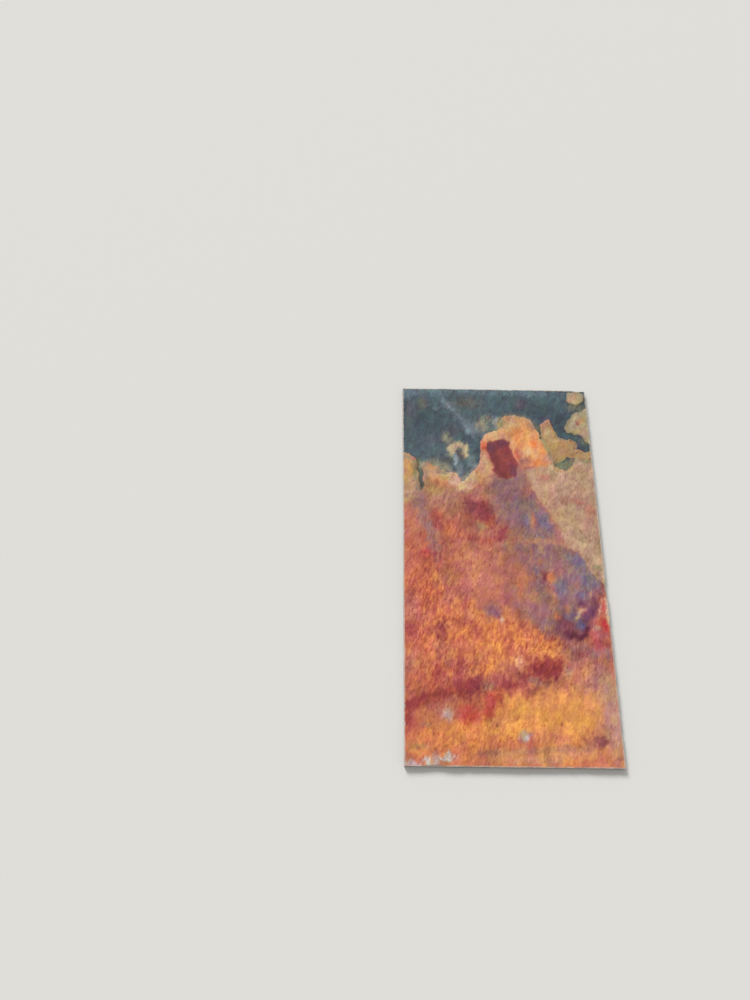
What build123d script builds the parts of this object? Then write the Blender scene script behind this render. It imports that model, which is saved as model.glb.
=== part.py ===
from build123d import *
import os
from math import cos, pi, radians, sin, sqrt

# Natural cleft slate tile, one piece of stone, in millimetres.
# X runs across the tile, Y along it, away from the viewer, and Z up from the flat back to the riven face.
# The origin is the middle of the back.

# Sawn size
width = 300.0
length = 600.0
# Calibrated thickness, from the flat back to the highest spot of the riven face
thickness = 10.0
# The saw leaves the four upright corners this round
corner_radius = 0.6

# The riven face is the sum of a few long swells. Each has its height, its wavelength, the direction in
# which it runs, in degrees from the X axis, and how far along its wave it starts, in degrees
swells = (
    (0.30, 520.0, 78.0, 30.0),
    (0.24, 260.0, 35.0, 115.0),
    (0.16, 150.0, 108.0, 230.0),
    (0.09, 92.0, 62.0, 70.0),
)
# The face is drawn through stations about this far apart, as closely as the tolerance says
station_pitch = 25.0
face_tolerance = 0.01
# Its highest spot is looked for at places this far apart
crest_pitch = 4.0
# The face and the clefts' outlines run this far past the sawn edges
overrun = 15.0

# Clefts are thin layers that came off the riven face, each down to a level of its own
far_cleft_depth = 0.6
side_cleft_depth = 0.4
near_cleft_depth = 0.3

# Spalls are shells of stone that the saw knocked out of the arris, long along it and deep across it
large_spall_length = 30.0
large_spall_depth = 1.6
small_spall_length = 13.0
small_spall_depth = 0.9


def place(across, along):
    """A point of the face, in shares of the tile's width and length from its middle."""
    return (across * width, along * length)


def swell_height(x, y):
    """How high the swells stand at a point, above or below their mean."""
    total = 0.0
    for height, wavelength, direction, start in swells:
        run = x * cos(radians(direction)) + y * sin(radians(direction))
        total += height * cos(2 * pi * run / wavelength + radians(start))
    return total


def stations(reach, pitch):
    """Evenly spaced places about this far apart, from one reach to the other."""
    count = round(2 * reach / pitch)
    return [reach * (2 * step / count - 1) for step in range(count + 1)]


crest = max(
    swell_height(x, y) for x in stations(width / 2, crest_pitch) for y in stations(length / 2, crest_pitch)
)


def riven_face(depth=0.0):
    """The riven face, or the one below it where a layer of this depth has come off."""
    mean_level = thickness - crest - depth
    rows = stations(width / 2 + overrun, station_pitch)
    columns = stations(length / 2 + overrun, station_pitch)
    return Face.make_surface_from_array_of_points(
        [[(x, y, mean_level + swell_height(x, y)) for y in columns] for x in rows],
        tol=face_tolerance,
    )


# Outlines of the clefts cross the sawn edges and close outside them
right_of_tile = 0.5 + overrun / width
left_of_tile = -right_of_tile
beyond_tile = 0.5 + overrun / length

# The far cleft bares blue-grey slate. Its ragged edge has a narrow notch on the left, a bay, a tall
# rounded lobe in the middle that stayed on, and a second bay on the right
far_cleft_edge = [
    place(left_of_tile, 0.317),
    place(-0.50, 0.30),
    place(-0.44, 0.278),
    place(-0.427, 0.247),
    place(-0.407, 0.183),
    place(-0.387, 0.21),
    place(-0.403, 0.267),
    place(-0.36, 0.265),
    place(-0.30, 0.243),
    place(-0.233, 0.228),
    place(-0.18, 0.205),
    place(-0.14, 0.238),
    place(-0.093, 0.278),
    place(-0.097, 0.317),
    place(-0.057, 0.358),
    place(0.0, 0.368),
    place(0.027, 0.405),
    place(0.087, 0.422),
    place(0.157, 0.413),
    place(0.207, 0.375),
    place(0.25, 0.332),
    place(0.27, 0.28),
    place(0.30, 0.262),
    place(0.367, 0.26),
    place(0.393, 0.28),
    place(0.433, 0.297),
    place(right_of_tile, 0.303),
]
far_cleft_outside = [place(right_of_tile, beyond_tile), place(left_of_tile, beyond_tile)]

# Skins of the first layer that still stand on the bare slate: a shelf and a point that both run off the
# right edge, and a rounded blot in the far right corner
shelf_edge = [
    place(right_of_tile, 0.305),
    place(0.437, 0.312),
    place(0.42, 0.34),
    place(0.34, 0.348),
    place(0.307, 0.383),
    place(0.27, 0.402),
    place(0.24, 0.367),
    place(0.277, 0.312),
    place(0.30, 0.273),
    place(0.347, 0.282),
    place(0.42, 0.29),
    place(right_of_tile, 0.277),
]
point_edge = [
    place(right_of_tile, 0.447),
    place(0.47, 0.433),
    place(0.41, 0.403),
    place(0.393, 0.37),
    place(0.433, 0.363),
    place(0.48, 0.34),
    place(right_of_tile, 0.317),
]
blot_edge = [
    place(0.397, 0.467),
    place(0.403, 0.487),
    place(0.427, 0.495),
    place(0.47, 0.495),
    place(0.49, 0.478),
    place(0.483, 0.463),
    place(0.453, 0.453),
    place(0.417, 0.457),
]
far_skins = (shelf_edge, point_edge, blot_edge)

# The side cleft runs down the right edge, from the far cleft along a straight joint in the stone
side_cleft_edge = [
    place(0.143, 0.25),
    place(0.15, 0.213),
    place(0.18, 0.173),
    place(0.24, 0.127),
    place(0.28, 0.087),
    place(0.323, 0.037),
    place(0.36, 0.03),
    place(0.397, 0.007),
    place(0.433, -0.033),
    place(0.473, -0.052),
    place(right_of_tile, -0.073),
]
side_cleft_outside = [
    place(right_of_tile, 0.30),
    place(0.433, 0.307),
    place(0.333, 0.287),
    place(0.28, 0.273),
    place(0.20, 0.26),
]

# The near cleft is a tongue off the right edge
near_cleft_edge = [
    place(right_of_tile, -0.09),
    place(0.455, -0.115),
    place(0.40, -0.16),
    place(0.36, -0.20),
    place(0.29, -0.197),
    place(0.255, -0.225),
    place(0.275, -0.285),
    place(0.36, -0.35),
    place(0.43, -0.40),
    place(right_of_tile, -0.43),
]


def cleft(edge, outside, depth, skins=()):
    """The layer that came off inside an outline, from the face below it up to clear of the stone. Skins
    of it that stayed on are left standing."""
    with BuildSketch(Plane.XY.offset(thickness / 2), mode=Mode.PRIVATE) as outline:
        with BuildLine():
            Spline(*edge)
            Polyline(edge[-1], *outside, edge[0])
        make_face()
        for skin_edge in skins:
            with BuildLine():
                Spline(*skin_edge)
                Line(skin_edge[-1], skin_edge[0])
            make_face(mode=Mode.SUBTRACT)
    layer = extrude(outline.sketch, amount=thickness, mode=Mode.PRIVATE)
    return split(layer, bisect_by=riven_face(depth), keep=Keep.TOP, mode=Mode.PRIVATE)


def spall_radius(long, deep):
    """The ball that bites this long and this deep out of a straight arris."""
    return (long**2 / 4 + deep**2) / (2 * deep)


def spall_centre(spot, outward, long, deep):
    """Where that ball stands off the top arris, up and outward from it by as much."""
    x, y = spot
    offset = (spall_radius(long, deep) - deep) / sqrt(2)
    level = thickness - crest + swell_height(x, y)
    return (x + offset * cos(radians(outward)), y + offset * sin(radians(outward)), level + offset)


# Each spall's spot on the arris, the way that its edge faces in degrees from the X axis, and its bite
spalls = (
    (place(-0.36, -0.5), -90.0, large_spall_length, large_spall_depth),
    (place(-0.22, -0.5), -90.0, small_spall_length, small_spall_depth),
    (place(0.31, -0.5), -90.0, small_spall_length, small_spall_depth),
    (place(0.5, -0.07), 0.0, large_spall_length, large_spall_depth),
    (place(0.5, -0.165), 0.0, small_spall_length, small_spall_depth),
    (place(0.5, 0.405), 0.0, small_spall_length, small_spall_depth),
    (place(0.09, 0.5), 90.0, small_spall_length, small_spall_depth),
    (place(0.47, 0.5), 90.0, large_spall_length, large_spall_depth),
    (place(-0.5, 0.155), 180.0, small_spall_length, small_spall_depth),
    (place(-0.5, -0.24), 180.0, large_spall_length, large_spall_depth),
)


with BuildPart() as slate_tile:
    # The blank as sawn from the block, before it was split
    with BuildSketch():
        RectangleRounded(width, length, corner_radius)
    extrude(amount=2 * thickness)
    # The riven face, and the layers that came off it
    split(bisect_by=riven_face(), keep=Keep.BOTTOM)
    add(cleft(far_cleft_edge, far_cleft_outside, far_cleft_depth, far_skins), mode=Mode.SUBTRACT)
    add(cleft(side_cleft_edge, side_cleft_outside, side_cleft_depth), mode=Mode.SUBTRACT)
    add(cleft(near_cleft_edge, [], near_cleft_depth), mode=Mode.SUBTRACT)
    # What the saw knocked off the arris
    for spot, outward, long, deep in spalls:
        with Locations(spall_centre(spot, outward, long, deep)):
            Sphere(spall_radius(long, deep), mode=Mode.SUBTRACT)

slate_tile.part.label = "slate_tile"

os.makedirs("parts", exist_ok=True)
export_step(slate_tile.part, "parts/slate_tile.step")
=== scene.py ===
from math import cos, pi, radians, sin, sqrt

import bpy
import numpy as np
from mathutils import Euler, Matrix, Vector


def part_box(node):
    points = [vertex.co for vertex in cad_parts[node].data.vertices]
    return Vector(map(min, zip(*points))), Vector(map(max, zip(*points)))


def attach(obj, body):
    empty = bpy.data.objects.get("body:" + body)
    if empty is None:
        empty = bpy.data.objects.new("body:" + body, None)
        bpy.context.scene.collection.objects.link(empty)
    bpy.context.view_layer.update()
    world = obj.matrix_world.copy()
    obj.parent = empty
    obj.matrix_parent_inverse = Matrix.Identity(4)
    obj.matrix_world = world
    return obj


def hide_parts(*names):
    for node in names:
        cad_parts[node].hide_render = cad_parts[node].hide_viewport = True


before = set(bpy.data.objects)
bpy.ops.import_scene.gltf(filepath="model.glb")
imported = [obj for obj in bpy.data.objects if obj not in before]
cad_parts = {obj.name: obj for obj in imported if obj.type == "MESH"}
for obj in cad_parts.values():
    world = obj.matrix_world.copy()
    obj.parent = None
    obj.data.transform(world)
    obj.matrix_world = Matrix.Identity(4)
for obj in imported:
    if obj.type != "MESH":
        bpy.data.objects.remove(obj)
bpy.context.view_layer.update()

# Natural cleft slate tile, riven face up. Lengths are in millimetres until they reach Blender, X runs
# across the tile, Y along it, away from the viewer, and Z up. The origin is the middle of the back.
MM = 0.001
_, high_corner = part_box("slate_tile")
half_width = high_corner.x / MM
half_length = high_corner.y / MM
width = 2 * half_width
length = 2 * half_length
# Calibrated thickness, up to the highest spot of the riven face
thickness = 10.0

# Pitch of the face's stations, and steps from the sawn edge inward, small beside the arris
grid_pitch = 1.6
rim_steps = (0.35, 0.45, 0.6, 0.8, 1.0, 1.3)


def ruler(half):
    """Stations from edge to edge, close together beside both edges."""
    rim = np.cumsum(rim_steps)
    inner = half - rim[-1]
    middle = np.linspace(-inner, inner, round(2 * inner / grid_pitch) + 1)
    return np.concatenate([[-half], rim[:-1] - half, middle, half - rim[-2::-1], [half]])


x_stations = ruler(half_width)
y_stations = ruler(half_length)
X, Y = (axis.ravel() for axis in np.meshgrid(x_stations, y_stations, indexing="ij"))
# Distance from the nearest sawn edge
rim_distance = np.minimum(half_width - abs(X), half_length - abs(Y))


# Noise and soft steps
def lattice_noise(x, y, seed):
    """Smooth random heights from about -1 to 1, one swell to a unit."""
    cycle = 256
    turns = np.random.default_rng(seed).uniform(0, 2 * pi, (cycle, cycle))
    column, row = np.floor(x).astype(int), np.floor(y).astype(int)
    right, up = x - column, y - row

    def pull(i, j):
        turn = turns[(column + i) % cycle, (row + j) % cycle]
        return np.cos(turn) * (right - i) + np.sin(turn) * (up - j)

    ease_x = right**3 * (right * (6 * right - 15) + 10)
    ease_y = up**3 * (up * (6 * up - 15) + 10)
    near = pull(0, 0) * (1 - ease_x) + pull(1, 0) * ease_x
    far = pull(0, 1) * (1 - ease_x) + pull(1, 1) * ease_x
    return 1.4 * (near * (1 - ease_y) + far * ease_y)


def rough(across, along, seed, octaves=4, turn=0.0):
    """Broken noise with swells this wide and this long, and finer ones on them, turned by degrees."""
    right = X * cos(radians(turn)) + Y * sin(radians(turn))
    up = Y * cos(radians(turn)) - X * sin(radians(turn))
    total = np.zeros(X.shape)
    for octave in range(octaves):
        fine = 2**octave
        total += lattice_noise(right * fine / across + 40, up * fine / along + 40, seed + octave) / fine
    return total


def ease(low, high, values):
    """Nought below low, one above high, and a smooth rise between."""
    share = np.clip((values - low) / (high - low), 0, 1)
    return share * share * (3 - 2 * share)


# The stone's grain leans to the right, by these degrees, as it runs along the tile
lean = 18.0
# Edges of stains and of torn layers wander along this
wander_x = rough(10, 15, 81, turn=-lean)
wander_y = rough(10, 15, 86, turn=-lean)
# Small spots and streaks fray along this
fray_x = rough(4, 7, 94, octaves=2, turn=-lean)
fray_y = rough(4, 7, 97, octaves=2, turn=-lean)


# Shapes drawn on the face, each as a weight at every station, from nothing outside it to one inside
def smooth_line(points, closed=False, steps=4):
    """A curve through the points, as short straight pieces."""
    points = np.array(points, float)
    if closed:
        padded = np.vstack([points[-1:], points, points[:2]])
    else:
        padded = np.vstack([2 * points[0] - points[1], points, 2 * points[-1] - points[-2]])
    t = np.arange(steps)[:, None] / steps
    pieces = []
    for a, b, c, d in zip(padded[:-3], padded[1:-2], padded[2:-1], padded[3:]):
        bend = 2 * b + (c - a) * t + (2 * a - 5 * b + 4 * c - d) * t**2 + (3 * b - a - 3 * c + d) * t**3
        pieces.append(bend / 2)
    if not closed:
        pieces.append(points[-1:])
    return np.vstack(pieces)


def torn_places(torn, frayed=0.0):
    """Every station, moved as far as a torn and frayed edge wanders there."""
    return X + torn * wander_x + frayed * fray_x, Y + torn * wander_y + frayed * fray_y


def line_distance(line, x, y):
    """Distance from the places to a line of short straight pieces."""
    nearest = np.full(x.shape, np.inf)
    for (ax, ay), (bx, by) in zip(line[:-1], line[1:]):
        dx, dy = bx - ax, by - ay
        share = np.clip(((x - ax) * dx + (y - ay) * dy) / (dx * dx + dy * dy + 1e-9), 0, 1)
        nearest = np.minimum(nearest, (x - ax - share * dx) ** 2 + (y - ay - share * dy) ** 2)
    return np.sqrt(nearest)


def patch(points, feather, torn=2.6):
    """A patch with this outline. Its weight rises from nothing to one across the feather."""
    x, y = torn_places(torn)
    line = smooth_line(points, closed=True)
    line = np.vstack([line, line[:1]])
    odd = np.zeros(x.shape, bool)
    for (ax, ay), (bx, by) in zip(line[:-1], line[1:]):
        crosses = (ay > y) != (by > y)
        odd ^= crosses & (x < ax + (y - ay) * (bx - ax) / (by - ay + 1e-9))
    inside = np.where(odd, 1, -1) * line_distance(line, x, y)
    return np.clip(0.5 + inside / feather, 0, 1)


# How steeply spots and streaks end
spot_steepness = 1.4
streak_steepness = 2.4


def spot(middle_x, middle_y, wide, long=None, turn=0.0):
    """A soft spot, turned by degrees. It weighs a half at this half width and half length."""
    long = long or wide
    x, y = torn_places(min(wide, 12.0) * 0.5, min(wide, 8.0) * 0.45)
    right, up = x - middle_x, y - middle_y
    across = (right * cos(radians(turn)) + up * sin(radians(turn))) / wide
    along = (up * cos(radians(turn)) - right * sin(radians(turn))) / long
    return 0.5 ** ((across**2 + along**2) ** spot_steepness)


def streak(points, half_width):
    """A soft streak along a curve. It weighs a half at its half width."""
    x, y = torn_places(half_width * 0.8, half_width * 0.4)
    return 0.5 ** ((line_distance(smooth_line(points), x, y) / half_width) ** streak_steepness)


def any_of(*shapes):
    """All of these shapes together: the greatest of their weights."""
    return np.maximum.reduce(shapes)


# Outlines on the face. Bare slate lies at the far end, and skins of rusty stone still lie on it
slate_outline = [
    (-165, 190), (-150, 181), (-140, 177), (-130, 168), (-128, 148), (-125, 130), (-121, 113), (-117, 126),
    (-118, 142), (-119, 160), (-108, 160), (-97, 155), (-90, 151), (-80, 147), (-70, 143), (-64, 139),
    (-58, 132), (-53, 132), (-47, 139), (-40, 148), (-33, 156), (-28, 168), (-27, 180), (-29, 190),
    (-27, 201), (-17, 215), (-8, 219), (0, 222), (3, 231), (8, 241), (15, 247), (26, 250), (37, 250),
    (48, 247), (58, 239), (64, 227), (70, 212), (77, 198), (84, 184), (86, 166), (92, 157), (106, 152),
    (116, 158), (122, 172), (132, 179), (165, 182), (165, 320), (-165, 320),
]
shelf_outline = [
    (73, 231), (81, 241), (88, 240), (92, 230), (96, 217), (102, 209), (117, 207), (126, 204), (129, 195),
    (131, 187), (165, 183), (165, 166), (126, 174), (110, 175), (104, 169), (90, 164), (84, 174), (81, 187),
    (74, 206), (71, 220),
]
point_outline = [
    (165, 268), (141, 261), (128, 254), (120, 243), (112, 232), (115, 221), (126, 217), (137, 212),
    (143, 204), (165, 190),
]
blot_outline = [
    (119, 280), (121, 292), (128, 297), (141, 297), (147, 287), (145, 278), (136, 272), (125, 274),
]
lobe_outline = [
    (-36, 144), (-34, 190), (-18, 222), (2, 240), (26, 260), (54, 252), (74, 216), (86, 184), (80, 158),
    (45, 159), (24, 162), (0, 150), (-18, 138),
]
core_outline = [
    (-16, 190), (-10, 201), (3, 205), (15, 204), (21, 197), (23, 184), (29, 172), (31, 160), (29, 147),
    (22, 138), (11, 134), (-1, 139), (-7, 149), (-9, 163), (-13, 177),
]
# A tan layer lies bare down the right side, along a straight joint in the stone
tan_outline = [
    (43, 152), (49, 128), (59, 104), (76, 76), (87, 52), (93, 34), (100, 22), (110, 15), (121, 2),
    (131, -20), (142, -32), (165, -44), (165, 180), (130, 184), (100, 172), (84, 164), (60, 156),
]
tongue_outline = [(-165, 182), (-142, 176), (-131, 162), (-128, 140), (-126, 118), (-132, 100), (-165, 96)]
wedge_outline = [
    (5, 143), (-16, 131), (-17, 112), (-10, 87), (3, 64), (22, 48), (16, 20), (30, -10), (35, -60),
    (50, -104), (72, -112), (104, -110), (128, -80), (142, -50), (150, -30), (119, 4), (88, 36), (72, 76),
    (54, 104), (45, 150), (25, 152),
]
near_layer_outline = [
    (165, -54), (136, -69), (122, -94), (106, -122), (88, -120), (76, -135), (82, -171), (108, -210),
    (129, -240), (165, -258),
]
rust_ring = [(-73, 180), (-71, 189), (-65, 195), (-58, 196), (-52, 190), (-50, 178)]
gold_rim = [(-109, 144), (-92, 141), (-77, 138), (-63, 128), (-55, 126), (-44, 134), (-35, 148), (-27, 166)]
red_band = [(-155, -223), (-128, -212), (-100, -202), (-52, -192), (0, -186), (40, -170), (70, -160)]
hook_outline = [
    (75, -92), (72, -108), (80, -121), (97, -125), (111, -119), (121, -103), (131, -82), (137, -62),
    (133, -50), (121, -60), (112, -78), (103, -95), (90, -97),
]
scuff = [(-86, 284), (-75, 266), (-60, 250), (-46, 228), (-36, 212)]
notch = [(-126, 166), (-124, 140), (-121, 112)]
channel = [(71, 226), (76, 200), (83, 180)]

island_outlines = (shelf_outline, point_outline, blot_outline)
islands = any_of(*(patch(outline, 5) for outline in island_outlines), 0.6 * spot(2, 236, 7, 9))
bare_slate = np.minimum(patch(slate_outline, 5, 3.2), 1 - islands)
bare_tan = patch(tan_outline, 2, 1.8)
near_layer = patch(near_layer_outline, 3, 3)
lobe = patch(lobe_outline, 5, 3)
wedge = patch(wedge_outline, 26, 8)


# Relief of the riven face. Long swells: height, wavelength, direction in degrees from X, and start
swells = (
    (0.30, 520, 78, 30),
    (0.24, 260, 35, 115),
    (0.16, 150, 108, 230),
    (0.09, 92, 62, 70),
)
# Depth of the layers that came off
far_cleft_depth = 0.6
side_cleft_depth = 0.4
near_cleft_depth = 0.3
# Each thin leaf of stone is a step lower than the last
leaf_step = 0.2
ripple_depth = 0.17
short_ripple_depth = 0.09
pit_depth = 0.35
# How deeply the saw breaks the arris, and how much that changes along it
mean_arris_wear = 0.35
arris_wear_change = 0.25


def place(across, along):
    """A point of the face, in shares of the tile's width and length from its middle."""
    return (across * width, along * length)


def swell_height():
    """How high the swells stand at every station."""
    total = np.zeros(X.shape)
    for height, wavelength, direction, start in swells:
        run = X * cos(radians(direction)) + Y * sin(radians(direction))
        total += height * np.cos(2 * pi * run / wavelength + radians(start))
    return total


# Spalls knocked out of the top arris: spot, way its edge faces, length and depth
large_spall = (30.0, 1.6)
small_spall = (13.0, 0.9)
spalls = (
    (place(-0.36, -0.5), -90, large_spall),
    (place(-0.22, -0.5), -90, small_spall),
    (place(0.31, -0.5), -90, small_spall),
    (place(0.5, -0.07), 0, large_spall),
    (place(0.5, -0.165), 0, small_spall),
    (place(0.5, 0.405), 0, small_spall),
    (place(0.09, 0.5), 90, small_spall),
    (place(0.47, 0.5), 90, large_spall),
    (place(-0.5, 0.155), 180, small_spall),
    (place(-0.5, -0.24), 180, large_spall),
)


def bite(level, spot_on_arris, outward, long, deep):
    """Cuts one spall out of the face's levels: a ball that stands off the arris, up and outward."""
    radius = (long**2 / 4 + deep**2) / (2 * deep)
    offset = (radius - deep) / sqrt(2)
    x, y = spot_on_arris
    at_spot = level[np.argmin((X - x) ** 2 + (Y - y) ** 2)]
    right = X - x - offset * cos(radians(outward))
    up = Y - y - offset * sin(radians(outward))
    under = radius**2 - right**2 - up**2
    ball = at_spot + offset - np.sqrt(np.maximum(under, 0))
    return np.where(under > 0, np.minimum(level, ball), level)


def small_chips(count, seed):
    """Places, directions and sizes of the small chips all round the arris."""
    random = np.random.default_rng(seed)
    for _ in range(count):
        along = random.uniform(-0.5, 0.5)
        side = random.integers(6)
        long = random.uniform(3, 10)
        size = (long, long * random.uniform(0.04, 0.09))
        if side < 2:
            yield place(along, side - 0.5), 180.0 * side - 90.0, size
        else:
            yield place(side % 2 - 0.5, along), 180.0 * (1 - side % 2), size


swell = swell_height()
smooth_face = thickness - swell.max() + swell
cleft_drop = near_cleft_depth * near_layer + np.maximum(
    far_cleft_depth * ease(0.25, 0.75, bare_slate), side_cleft_depth * ease(0.1, 0.9, bare_tan)
)
# Thin leaves of stone, with torn curved edges
leaf_wave = 3.2 * rough(120, 200, 21, octaves=2, turn=20) + 0.7 * rough(20, 34, 25, turn=-lean)
leaf_number = np.floor(leaf_wave).astype(int)
leaf_slope = ease(0.9, 1.0, leaf_wave % 1)
leaves = leaf_step * (leaf_number.max() - leaf_number - leaf_slope)
# Ripples run with the grain, long ones and short ones
ripple = 0.8 - rough(10, 30, 31, octaves=2, turn=-lean)
short_ripple = 0.8 - rough(5, 11, 35, octaves=1, turn=-lean)
ripples = ripple_depth * np.maximum(ripple, 0) + short_ripple_depth * np.maximum(short_ripple, 0)
# Small round pits
pit_places = (
    (-130, -277), (-107, -278), (-93, -273), (-25, -283), (-15, -212), (60, -30), (-30, -238), (-22, -245),
    (68, -242), (124, 191), (119, 205), (132, 237),
)
# Splashes of lime along the near edge, and two loose ones
lime_shapes = any_of(
    0.9 * spot(-95, -289, 11, 5), 0.9 * spot(-114, -295, 12, 4), 0.7 * spot(-140, -297, 14, 4),
    0.5 * spot(19, -261, 3), 0.2 * spot(-88, -231, 4),
)
pit_shapes = any_of(*(spot(x, y, 1.9, 2.3) for x, y in pit_places))
riven = smooth_face - cleft_drop - leaves - ripples - pit_depth * pit_shapes
face_level = riven
for spot_on_arris, outward, size in (*spalls, *small_chips(count=70, seed=41)):
    face_level = bite(face_level, spot_on_arris, outward, *size)
spalled = riven - face_level
arris_wear = mean_arris_wear + arris_wear_change * rough(7, 7, 51, octaves=2)
face_level = face_level - arris_wear * ease(1.0, 0.0, rim_distance)


# Stains of the stone, in colours as they look on a screen, in steps of 255
salmon = (189, 112, 88)
peach = (218, 150, 110)
gold = (230, 157, 82)
amber = (222, 134, 76)
deep_orange = (203, 108, 70)
brown = (166, 116, 94)
rose = (183, 106, 100)
coral = (202, 84, 68)
brick = (170, 80, 68)
wine = (146, 56, 57)
plum = (144, 92, 112)
mauve = (145, 109, 106)
blue_mauve = (118, 108, 126)
pink_tan = (204, 156, 132)
cream = (208, 178, 142)
ochre = (170, 134, 88)
olive = (132, 128, 98)
blue_slate = (68, 86, 94)
dark_slate = (56, 74, 82)
teal_slate = (84, 110, 112)
purple_slate = (86, 76, 92)
brown_slate = (92, 88, 84)
pale_slate = (136, 152, 160)
lime = (206, 208, 212)


def painted(ground, strokes):
    """The colour at every station: the ground's, and each stroke's own where that stroke lies. A stroke is
    a colour and the shapes that it fills, and a shape weighted above one has a solid middle."""
    face = np.tile(np.array(ground, float), (X.size, 1))
    for colour, *shapes in strokes:
        face += (np.array(colour) - face) * np.minimum(any_of(*shapes), 1)[:, None]
    return face


def within(area, *strokes):
    """The same strokes, kept inside an area."""
    return [(colour, area * any_of(*shapes)) for colour, *shapes in strokes]


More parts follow.
